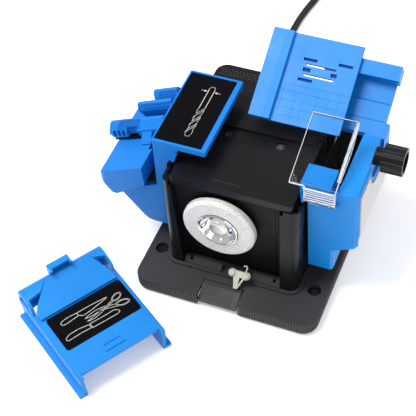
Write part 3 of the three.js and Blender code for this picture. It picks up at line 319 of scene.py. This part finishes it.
def make_cord():
    """The whole cord as one swept curve, in place of the CAD's stretches of it."""
    line = through([*CORD_ROUTE, *coil_turns(), *TAIL_ROUTE])
    curve = bpy.data.curves.new("mains_cord", "CURVE")
    curve.dimensions = "3D"
    curve.bevel_depth = CORD_DIAMETER / 2 * MM
    curve.bevel_resolution = 3
    curve.use_fill_caps = True
    spline = curve.splines.new("POLY")
    spline.points.add(len(line) - 1)
    for point, place in zip(spline.points, line):
        point.co = (*bench(*place), 1)
    cord = bpy.data.objects.new("mains_cord", curve)
    scene.collection.objects.link(cord)
    curve.materials.append(MATERIALS["rubber"])
    spline.use_smooth = True
    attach(cord, "machine")
    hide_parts("power_cord", "cord_coil", "cord_tail")


make_cord()


# ---------------------------------------------------------------- CAD pieces: material and softened edges
FLAT_ANGLE = math.radians(0.5)    # faces within this angle count as one flat
HARD_ANGLE = math.radians(32)     # an edge sharper than this is hard, and is rounded or kept sharp
SOFTEN = {                        # node: bevel width in millimetres
    "base_plate": 0.5, "body_shell": 0.9, "top_lid": 0.8, "lid_screw_1": 0.2, "lid_screw_2": 0.2,
    "motor_bulkhead": 0.3, "grinding_wheel": 0.3,
    "release_pedal": 0.4, "latch_tee": 0.35, "latch_screw_left": 0.2, "latch_screw_right": 0.2,
    "drill_housing": 0.6, "drill_bed": 0.7, "drill_jaw_fixed": 0.7, "drill_jaw_sliding": 0.8,
    "drill_cap": 0.6, "drill_clamp_knob": 0.3, "drill_label": 0.1,
    "chisel_housing": 0.7, "chisel_ramp": 0.6, "chisel_tray": 0.5, "side_knob": 0.35, "clear_shield": 0.2,
    "knife_guide_body": 0.5, "knife_guide_ramp": 0.4, "knife_label": 0.1,
    "strain_relief": 0.3, "plug_body": 1.6, "plug_pin_front": 0.5, "plug_pin_back": 0.5,
}
LOOKS = {                         # node: the material it wears where that isn't its slot's own
    "base_plate": "black_matt", "release_pedal": "black_matt",
    # the drill head's parts wear the darker blue as painted shade
    "drill_housing": "blue_painted_shade", "drill_bed": "blue_painted_shade", "drill_jaw_fixed": "blue_painted_shade",
    "drill_jaw_sliding": "blue_painted_shade", "drill_cap": "blue_painted_shade",
    "side_knob_screw": "black_screw", "latch_screw_left": "nut_satin", "latch_screw_right": "nut_satin",
}


def soften(obj, width):
    """Rounds a CAD piece's hard edges with modifiers, so that they catch the light."""
    flat = obj.modifiers.new("flat", "DECIMATE")
    flat.decimate_type = "DISSOLVE"
    flat.angle_limit = FLAT_ANGLE
    bevel = obj.modifiers.new("bevel", "BEVEL")
    bevel.width = width * MM
    bevel.segments = 2
    bevel.limit_method = "ANGLE"
    bevel.angle_limit = HARD_ANGLE
    bevel.miter_outer = "MITER_ARC"
    bevel.use_clamp_overlap = True
    weighted = obj.modifiers.new("weighted", "WEIGHTED_NORMAL")
    weighted.weight = 80
    weighted.keep_sharp = True


def dress_cad():
    slots = {entry["node"]: entry["material_slot"] for entry in frame["record"]["subparts"]}
    for name, obj in NODES.items():
        dress(obj, LOOKS.get(name, slots[name]))
        for polygon in obj.data.polygons:
            polygon.use_smooth = True
        if name in SOFTEN:
            soften(obj, SOFTEN[name])
        else:
            obj.data.set_sharp_from_angle(angle=HARD_ANGLE)


dress_cad()


# ---------------------------------------------------------------- fine detail
def turn_about(axis, degrees):
    return Matrix.Rotation(math.radians(degrees), 4, axis)


# Placements in the bench frame of the parts that stand tilted or turned, as the CAD source has them.
BENCH_FRAME = Matrix.Identity(4)
BED_FRAME = Matrix.Translation((-67, 0, 77)) @ turn_about("Y", -24)
TRAY_FRAME = Matrix.Translation((21.9, 85.4, 100)) @ turn_about("X", 29.5)
SHIELD_FRAME = Matrix.Translation((0, 38, 100.6)) @ turn_about("X", 19)
GUIDE_FRAME = Matrix.Translation((-60, -93, -1.5)) @ turn_about("Z", 56.5)
PEDAL_FRAME = Matrix.Translation((0, 0.3, 4.4)) @ turn_about("X", 27.2)
PUT = {
    "x": lambda u, v, w: (w, u, v),
    "y": lambda u, v, w: (u, w, v),
    "z": lambda u, v, w: (u, v, w),
}
DETAIL_HARD_ANGLE = math.radians(35)
MERGE_DISTANCE = 1e-7             # metres
LINE_WIDTH = 0.42                 # of a label's ink
INK_FOOT, INK_TOP = -0.02, 0.03   # how far ink reaches under and over its surface


class Sketch:
    """Gathers small shapes, drawn in millimetres in a placement, into one piece."""

    def __init__(self, frame_at=BENCH_FRAME):
        self.mesh = bmesh.new()
        self.place = Matrix.Scale(MM, 4) @ Matrix.Translation(BENCH) @ frame_at

    def add(self, points, faces, turn=None):
        matrix = self.place @ turn if turn else self.place
        made = [self.mesh.verts.new(matrix @ Vector(point)) for point in points]
        for face in faces:
            self.mesh.faces.new([made[i] for i in face])

    def prism(self, outline, axis, span, turn=None):
        """An outline pushed along an axis: its points are (x, y) for z, (x, z) for y and (y, z) for x."""
        n = len(outline)
        points = [PUT[axis](u, v, w) for w in span for u, v in outline]
        sides = [(i, (i + 1) % n, n + (i + 1) % n, n + i) for i in range(n)]
        self.add(points, [tuple(range(n)), tuple(range(n, 2 * n)), *sides], turn)

    def block(self, xs, ys, zs, turn=None):
        outline = [(xs[0], ys[0]), (xs[1], ys[0]), (xs[1], ys[1]), (xs[0], ys[1])]
        self.prism(outline, "z", zs, turn)

    def turned(self, axis, centre, profile, sides):
        """A closed profile of (radius, along) turned about an axis through the centre."""
        points = []
        for i in range(sides):
            angle = 2 * math.pi * i / sides
            for radius, along in profile:
                u = centre[0] + radius * math.cos(angle)
                v = centre[1] + radius * math.sin(angle)
                points.append(PUT[axis](u, v, along))
        n = len(profile)
        faces = []
        for i in range(sides):
            here, there = i * n, (i + 1) % sides * n
            faces += [(here + j, here + (j + 1) % n, there + (j + 1) % n, there + j) for j in range(n)]
        self.add(points, faces)

    def stroke(self, points, height, width=LINE_WIDTH, closed=False):
        """A thin line of ink through (x, y) points."""
        ends = points[1:] + points[:1] if closed else points[1:]
        for (x0, y0), (x1, y1) in zip(points, ends):
            length = math.hypot(x1 - x0, y1 - y0)
            heading = Matrix.Rotation(math.atan2(y1 - y0, x1 - x0), 4, "Z")
            turn = Matrix.Translation((x0, y0, height)) @ heading
            self.block((-width / 2, length + width / 2), (-width / 2, width / 2), (INK_FOOT, INK_TOP), turn)

    def finish(self, name, slot, body, replaced=(), look=None):
        """Makes the piece: the body it rides on, the CAD nodes it replaces and what it wears, which is its
        slot's material when no look is given.
        """
        bmesh.ops.remove_doubles(self.mesh, verts=self.mesh.verts, dist=MERGE_DISTANCE)
        bmesh.ops.dissolve_degenerate(self.mesh, edges=self.mesh.edges, dist=MERGE_DISTANCE)
        bmesh.ops.recalc_face_normals(self.mesh, faces=self.mesh.faces)
        mesh = bpy.data.meshes.new(name)
        self.mesh.to_mesh(mesh)
        self.mesh.free()
        obj = bpy.data.objects.new(name, mesh)
        scene.collection.objects.link(obj)
        for polygon in mesh.polygons:
            polygon.use_smooth = True
        dress(obj, look or slot)
        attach(obj, body)
        if replaced:
            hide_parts(*replaced)
        mesh.set_sharp_from_angle(angle=DETAIL_HARD_ANGLE)


def arc(centre, radii, start, end, steps):
    """Points on an ellipse from one angle to another, in degrees."""
    angles = [math.radians(start + (end - start) * i / steps) for i in range(steps + 1)]
    return [(centre[0] + radii[0] * math.cos(a), centre[1] + radii[1] * math.sin(a)) for a in angles]


def make_base_flutes():
    """Upright ribs all round the base plate's edge, apart from the pedal's notch."""
    half, depth, corner, pitch = 63.7, 158, 10, 1.95
    notch_left, notch_right = -18.6, 12.2
    corner_ribs = 8
    rib, rib_span = [(-0.66, -0.3), (0.66, -0.3), (0.34, 0.55), (-0.34, 0.55)], (0.7, 8.7)
    across, along = 2 * (half - corner), depth - 2 * corner
    straight = (                  # start, way, length and the way the ribs face, in degrees
        ((corner - half, 0), (1, 0), across, -90), ((half, corner), (0, 1), along, 0),
        ((half - corner, depth), (-1, 0), across, 90), ((-half, depth - corner), (0, -1), along, 180),
    )
    places = []
    for (x, y), (dx, dy), length, facing in straight:
        count = round(length / pitch)
        places += [(x + dx * length * (i + 0.5) / count, y + dy * length * (i + 0.5) / count, facing)
                   for i in range(count)]
    middles = ((half - corner, corner, -90), (half - corner, depth - corner, 0),
               (corner - half, depth - corner, 90), (corner - half, corner, 180))
    for x, y, start in middles:
        for i in range(corner_ribs):
            facing = start + 90 * (i + 0.5) / corner_ribs
            angle = math.radians(facing)
            places.append((x + corner * math.cos(angle), y + corner * math.sin(angle), facing))
    sketch = Sketch()
    for x, y, facing in places:
        if y < 1 and notch_left < x < notch_right:
            continue
        turn = Matrix.Translation((x, y, 0)) @ turn_about("Z", facing + 90) @ Matrix.Scale(-1, 4, (0, 1, 0))
        sketch.prism(rib, "z", rib_span, turn)
    sketch.finish("base_flutes", "black_plastic", "machine", look="black_matt")


def make_pedal_ribs():
    """Ribs across the pedal's sloping tread."""
    first, pitch, count, span = 1.1, 1.35, 8, (-16.2, 5.4)
    sketch = Sketch(PEDAL_FRAME)
    for i in range(count):
        y = first + pitch * i
        sketch.prism([(y, -0.2), (y + 0.75, -0.2), (y + 0.55, 0.38), (y + 0.2, 0.38)], "x", span)
    sketch.finish("pedal_ribs", "black_plastic", "pedal", look="black_matt")


def make_lid_detail():
    """A moulded mark and dots, steel crosses in the screws as a painted glint, and painted shade on the
    floors of the recess and the bolt holes.
    """
    low_top, dot_foot = 89.7, 90.6            # the lid's front part, and just under its higher back part
    sketch = Sketch()
    line = (low_top - 0.1, low_top + 0.25)
    sketch.block((-13.3, 3.9), (34.0, 34.45), line)
    for x in (-13.3, 3.5):
        sketch.block((x, x + 0.4), (32.2, 34.3), line)
    sketch.finish("lid_mark", "black_plastic", "machine", look="black_matt")

    dots = Sketch()
    dot = [(0.05, dot_foot), (0.75, dot_foot), (0.6, 90.85), (0.05, 90.95)]
    for row in range(3):
        for i in range(11):
            centre = (-45 + 2.6 * i + 1.3 * (row % 2), 129.6 - 2.3 * row)
            dots.turned("z", centre, dot, 10)
    dots.finish("lid_dots", "black_plastic", "machine", look="black_matt")

    # sheets of painted shade on the recess floors and in the bolt holes
    shade = Sketch()
    for x0, x1 in ((-9.3, -3.5), (-1.8, 3.9)):
        shade.block((x0, x1), (70.1, 79.9), (low_top - 1.1, low_top - 0.95))
    ring = [(2.5, 6.9), (4.4, 6.9), (4.4, 7.15), (2.5, 7.15)]
    for x in (-54.9, 54.9):
        for y in (29.5, 128.5):
            shade.turned("z", (x, y), ring, 24)
    shade.finish("lid_and_bolt_shade", "black_plastic", "machine", look="dark_plastic")

    # bright steel crosses on the black screw heads: a painted glint
    cross = Sketch()
    screw_y, screw_top = 75.3, 88.5
    for x in (-19.6, 16.6):
        for degrees in (35, 125):
            spin = Matrix.Translation((x, screw_y, screw_top)) @ turn_about("Z", degrees)
            cross.block((-1.5, 1.5), (-0.28, 0.28), (-0.1, 0.12), spin)
    cross.finish("lid_screw_cross_glints", "black_screw", "machine", look="steel")


def make_drill_icon():
    """The outline of a twist drill, point to the front, with an arrow at each side of its shank."""
    top = 105.43
    x, half, foot, waist, head = -37.2, 1.95, 51, 76, 94.4
    fine, medium = 0.3, 0.36
    arrow_y = 92.1
    ink = Sketch()
    shank = [(x - half, waist), *arc((x, head), (half, 2.3), 180, 0, 8), (x + half, waist)]
    ink.stroke(shank, top)
    for side in (-1, 1):
        wave = [half - 0.25 * math.cos((y - foot) * 0.95) for y in range(foot + 1, waist + 1)]
        edge = [(x + side * reach, y) for y, reach in enumerate(wave, foot + 1)]
        ink.stroke(edge, top, medium)
    for i in range(3):
        for shift in (0, 2.2):
            start = foot + 1.5 + 7.2 * i + shift
            strand = [(x - half * math.cos(math.pi * t / 8), start + 1.2 * t) for t in range(9)]
            ink.stroke([point for point in strand if point[1] < waist + 1], top, fine)
    ink.stroke(arc((x, foot + 1.4), (1.9, 1.8), 180, 360, 8), top)
    for side in (-1, 1):
        tip = x + side * 2.5
        barb = tip + side * 1.9
        ink.prism([(tip, arrow_y), (barb, 93), (barb, 91.2)], "z", (top + INK_FOOT, top + INK_TOP))
        ink.stroke([(tip + side * 1.5, arrow_y), (tip + side * 4, arrow_y)], top, fine)
    ink.finish("drill_label_icon", "black_label", "drill_head", look="label_ink")


def make_knife_icons():
    """The outlines of two knives and of a pair of scissors that lies between them."""
    deck = 20.23
    ink = Sketch(GUIDE_FRAME)
    upper_blade = [
        (27.3, 45.5), (38, 45.4), (49.9, 44.6), (49, 43.9), (44.6, 43.1), (37, 41.8), (30.2, 41.0),
        (27.6, 43.0),
    ]
    upper_handle = [
        (27.3, 45.5), (22, 45.9), (18, 45.7), (15.3, 44.9), (14.7, 43.4), (15.6, 42.2), (18, 42.0),
        (23, 42.5), (27.6, 43.0),
    ]
    lower_blade = [
        (29.4, 32.9), (38, 32.7), (44, 32.7), (48.4, 32.8), (50.7, 31.4), (51.4, 30.0), (49.6, 28.8),
        (39.7, 28.9), (29.4, 29.2),
    ]
    lower_handle = [
        (29.3, 32.6), (22, 33.8), (15.6, 33.7), (12.2, 32.4), (11.4, 30.8), (12.2, 29.6), (15.6, 29.8),
        (22, 30), (29.2, 29.6),
    ]
    ink.stroke(upper_blade, deck)
    for outline in (upper_handle, lower_blade, lower_handle):
        ink.stroke(outline, deck, closed=True)
    ink.stroke([(30.1, 32.8), (30.1, 29.3)], deck)
    for radii in ((3.9, 2.3), (3.2, 1.7)):
        loop = arc((0, 0), radii, 0, 345, 16)
        ink.stroke([(55.2 + dx, 41.0 + dy + 0.22 * dx) for dx, dy in loop], deck, 0.38, True)
        ink.stroke([(56.4 + dx * 1.18, 34.6 + dy - 0.22 * dx) for dx, dy in loop], deck, 0.38, True)
    rising_arm = [
        (51.6, 40.2), (49, 39.6), (46.4, 38.2), (42, 36.2), (35, 34.6), (29.4, 35.4), (35, 36.3),
        (43, 38.2), (47.6, 37.6), (51.8, 36.2),
    ]
    falling_arm = [
        (51.4, 39), (48, 38.2), (44.6, 39.2), (38, 39.8), (33, 39.2), (29.4, 38.2), (34, 37.4), (42, 37.6),
        (46.6, 36), (51.9, 34),
    ]
    pivot = arc((46.2, 37.8), (1.1, 1.1), 0, 340, 12)
    ink.stroke(rising_arm, deck, 0.36)
    ink.stroke(falling_arm, deck, 0.36)
    ink.stroke(pivot, deck, 0.36, True)
    ink.finish("knife_label_icons", "black_label", "knife_guide", look="label_ink")


def make_shield_edges():
    """Bright polished rims round the clear shield and ribs down its lip."""
    left, lip, right, length = 36.2, 45.6, 65.6, 48.6
    wide, depth = 0.3, (0.95, 2.65)
    rims = Sketch(SHIELD_FRAME)
    rims.block((left - wide, left), (-0.3, length + wide), depth)
    rims.block((right, right + wide), (-1, length + wide), depth)
    rims.block((left - wide, right + wide), (length, length + wide), depth)
    rims.block((left - wide, lip), (-0.3, 0), depth)
    rims.block((lip - 0.25, right), (-1.7, -1.2), (0.2, 1.9))
    skirt = [(9, -3), (30, -6.4), (length, -1.6)]
    for (y0, z0), (y1, z1) in zip(skirt, skirt[1:]):
        rims.prism([(y0, z0), (y1, z1), (y1, z1 - wide), (y0, z0 - wide)], "x", (right - 1.6, right))
    rims.finish("shield_rims", "clear_plastic", "shield", look="clear_edge")
    comb = Sketch()
    for z in (90.2, 92.4, 94.5, 96.5, 98.4):
        comb.block((lip + 0.3, right - 0.3), (36.55, 37.0), (z, z + 0.55))
    for x in (lip - 0.05, right - 0.4):
        comb.block((x, x + 0.45), (36.6, 38.7), (89, 101))
    comb.finish("shield_lip_ribs", "clear_plastic", "shield", look="clear_edge")


def make_hub():
    """The deep polished cup in the wheel's middle and the rounded nut in it, in place of the plain ones."""
    axle, floor = (-8.7, 53.7), 28.7
    cup = Sketch()
    cup.turned("y", axle, [
        (13.7, 23.9), (13.8, 23.4), (13.5, 23.05), (12.9, 23.0), (12.4, 23.3), (11.9, 24.0), (10.9, 26.0),
        (9.9, 27.5), (9.0, 28.3), (8.2, floor), (3.4, floor), (3.4, 29.5), (8.0, 29.5), (12.3, 29.0),
        (12.3, 23.9),
    ], 96)
    cup.finish("hub_cup_polished", "chrome", "rotor", ["hub_cup"], "chrome")
    nut = Sketch()
    nut.turned("y", axle, [
        (0.02, 23.0), (2.6, 23.05), (4.6, 23.3), (5.9, 23.8), (6.7, 24.5), (7.0, 25.4), (7.1, 28.4),
        (0.02, 28.4),
    ], 72)
    nut.finish("hub_nut_rounded", "chrome", "rotor", ["hub_nut"], "nut_satin")


def make_jaw_ribs():
    """Fine raised ribs down the slopes of the clamp jaws, in dark blue as painted shade in the grooves
    between them, and sheets of painted shade in the gaps below the fixed jaw and the bed.
    """
    # sheets of painted shade in the gaps below the fixed jaw and the bed
    shade = Sketch(BED_FRAME)
    shade.block((-38.4, -11.6), (69.4, 78.6), (0.05, 0.25))
    shade.finish("drill_jaw_shade", "blue_plastic", "drill_head", look="dark_plastic")
    gap = Sketch()
    gap.block((-66.0, -58.0), (42.0, 61.6), (61.6, 62.0))
    gap.block((-66.0, -58.8), (61.2, 61.6), (62.0, 74.0))
    gap.finish("drill_bed_gap_shade", "blue_plastic", "drill_head", look="dark_plastic")

    # the ribs wear dark blue as painted shade in the grooves between them
    fixed = Sketch(BED_FRAME)
    for i in range(9):            # up the front slope, which starts at y 68.6 and z 6.8
        rise = 0.15 + 0.06 * (i % 2)
        y = 69.6 + 0.68 * i
        z = 6.8 + (y - 68.6) * 0.69
        fixed.block((-33 + 0.3 * i, -12.6), (y, y + 0.17), (z - 0.2, z + rise))
    for i in range(7):            # down the back slope, which starts at y 77.4 and z 10.7
        y = 77.9 + 0.6 * i
        z = 10.7 - (y - 77.4) * 0.89
        fixed.block((-31, -4), (y, y + 0.16), (z - 0.25, z + 0.16))
    fixed.finish("drill_jaw_fixed_ribs", "blue_plastic", "drill_head", look="blue_painted_groove_shade")

    sliding = Sketch(BED_FRAME)
    right, flat, spacing = 5, 1.4, 0.7
    for x0, y0, y1, crest, height in ((-22.4, 88, 96.5, 91, 12.4), (-13.6, 97.4, 106.5, 102, 13)):
        shoulder = height * 0.62
        for edge, end in ((crest - flat, y0), (crest + flat, y1)):
            count = max(2, round(abs(edge - end) / spacing))
            for i in range(count):
                part = (i + 0.5) / count
                y = edge + (end - edge) * part
                z = height + (shoulder - height) * part
                sliding.block((x0 + 4.6, right), (y - 0.09, y + 0.09), (z - 0.2, z + 0.2))
        for i in range(4):
            z = 1.6 + 1.5 * i
            sliding.block((x0 + 2.8, right), (y0 - 0.16, y0 + 0.1), (z, z + 0.4))
    sliding.finish("drill_jaw_sliding_ribs", "blue_plastic", "drill_jaw", look="blue_painted_groove_shade")


def make_well_shade():
    """Dark walls as painted shade low in the chisel well, where the real one opens on the motor's dark
    space.
    """
    foot = 57.4
    well_shade = Sketch()
    well_shade.block((47.2, 66.2), (58.2, 97.8), (57.2, 57.6))
    well_shade.block((47.1, 47.5), (58.2, 97.8), (foot, 84))
    well_shade.block((47.4, 66.2), (58.1, 58.5), (foot, 86))
    well_shade.block((65.9, 66.3), (58.5, 97.4), (foot, 80))
    well_shade.block((47.4, 66.2), (97.4, 97.8), (foot, 92))
    well_shade.finish("chisel_well_painted_shade", "blue_plastic", "chisel_head", look="dark_plastic")


def make_tray_detail():
    """Painted shade: dark floors in the tray's pockets, and darker lines for the faint sink marks in its
    face.
    """
    shift, gap, floor = -21.9, 0.1, (-1.55, -1.3)
    pockets = (
        (15.7, 24.9, 43.4, 45.4), (39, 48.4, 44.2, 46.2), (15.6, 25.2, 29.6, 31.6),
        (17, 22.2, 36.2, 38.8), (35.8, 39.8, 36, 38.6),
    )
    # dark floors in the pockets: painted shade
    pit_shade = Sketch(TRAY_FRAME)
    for u0, u1, v0, v1 in pockets:
        pit_shade.block((u0 + shift + gap, u1 + shift - gap), (v0 + gap, v1 - gap), floor)
    pit_shade.finish("tray_pit_shade_floors", "blue_plastic", "tray", look="tray_pit_shade_floor")
    # darker lines on the face: painted shade of faint sink marks
    face, width = 0.01, 0.3
    sink_mark_lines = Sketch(TRAY_FRAME)
    random.seed(11)
    for i in range(5):
        y = 5 + 5.4 * i + random.uniform(-0.6, 0.6)
        sink_mark_lines.stroke([(-14.5 + random.uniform(0, 3), y), (29, y + random.uniform(-0.5, 0.5))], face, width)
    for i in range(6):
        x = -12 + 7.3 * i + random.uniform(-1.5, 1.5)
        start = random.uniform(2, 8)
        end = (x + random.uniform(-0.3, 0.3), start + random.uniform(14, 20))
        sink_mark_lines.stroke([(x, start), end], face, width)
    sink_mark_lines.finish("tray_sink_mark_shade", "blue_plastic", "tray", look="blue_sink_mark_shade")


def make_bulkhead_rails():
    """Upright rails on the right of the bulkhead behind the wheel."""
    rails = Sketch()
    for x in (27.2, 29.6, 31.4):
        rails.block((x, x + 0.5), (31.55, 32.1), (12.5, 83))
    rails.finish("bulkhead_rails", "dark_plastic", "machine", look="black_plastic")


make_base_flutes()
make_pedal_ribs()
make_lid_detail()
make_drill_icon()
make_knife_icons()
make_shield_edges()
make_hub()
make_jaw_ribs()
make_well_shade()
make_tray_detail()
make_bulkhead_rails()


# ---------------------------------------------------------------- floor and light
FLOOR_HALF = 3.0
FLOOR_TONES = ((0.93, 0.93, 0.93), (0.96, 0.96, 0.96))
FLOOR_GLOW = 0.24
WORLD_STRENGTH = 0.6
LIGHTS = (                        # name, place and target in metres, size in metres, power in watts
    ("key", (-0.5, -0.2, 1.2), (0, 0, 0.05), 0.7, 16.5),
    ("fill", (0.9, -0.9, 0.8), (0, 0, 0.05), 0.9, 2.6),
    ("rim", (0.3, 1.1, 0.9), (0, 0, 0.08), 0.6, 6),
)


def make_floor():
    half = FLOOR_HALF
    corners = [(-half, -half, 0), (half, -half, 0), (half, half, 0), (-half, half, 0)]
    mesh = bpy.data.meshes.new("floor")
    mesh.from_pydata(corners, [], [(0, 1, 2, 3)])
    floor = bpy.data.objects.new("floor", mesh)
    scene.collection.objects.link(floor)
    kit = Nodes("floor")
    tone = kit.ramp(kit.noise(3, 2), (NOISE_LOW, FLOOR_TONES[0]), (NOISE_HIGH, FLOOR_TONES[1]))
    kit.link(tone, kit.shader.inputs["Base Color"])
    kit.set(Roughness=0.6, Specular_IOR_Level=0.3)
    kit.set(Emission_Color=(1, 1, 1, 1), Emission_Strength=FLOOR_GLOW)
    mesh.materials.append(kit.material)


def area_light(name, place, target, size, power):
    data = bpy.data.lights.new(name, "AREA")
    data.shape = "DISK"
    data.size = size
    data.energy = power
    light = bpy.data.objects.new(name, data)
    light.location = place
    light.rotation_euler = (Vector(target) - Vector(place)).to_track_quat("-Z", "Y").to_euler()
    scene.collection.objects.link(light)


def make_light():
    world = bpy.data.worlds.new("studio")
    world.use_nodes = True
    background = world.node_tree.nodes["Background"]
    background.inputs["Color"].default_value = (1, 1, 1, 1)
    background.inputs["Strength"].default_value = WORLD_STRENGTH
    scene.world = world
    for light in LIGHTS:
        area_light(*light)
    scene.view_settings.view_transform = "Standard"
    scene.view_settings.look = "None"


make_floor()
make_light()
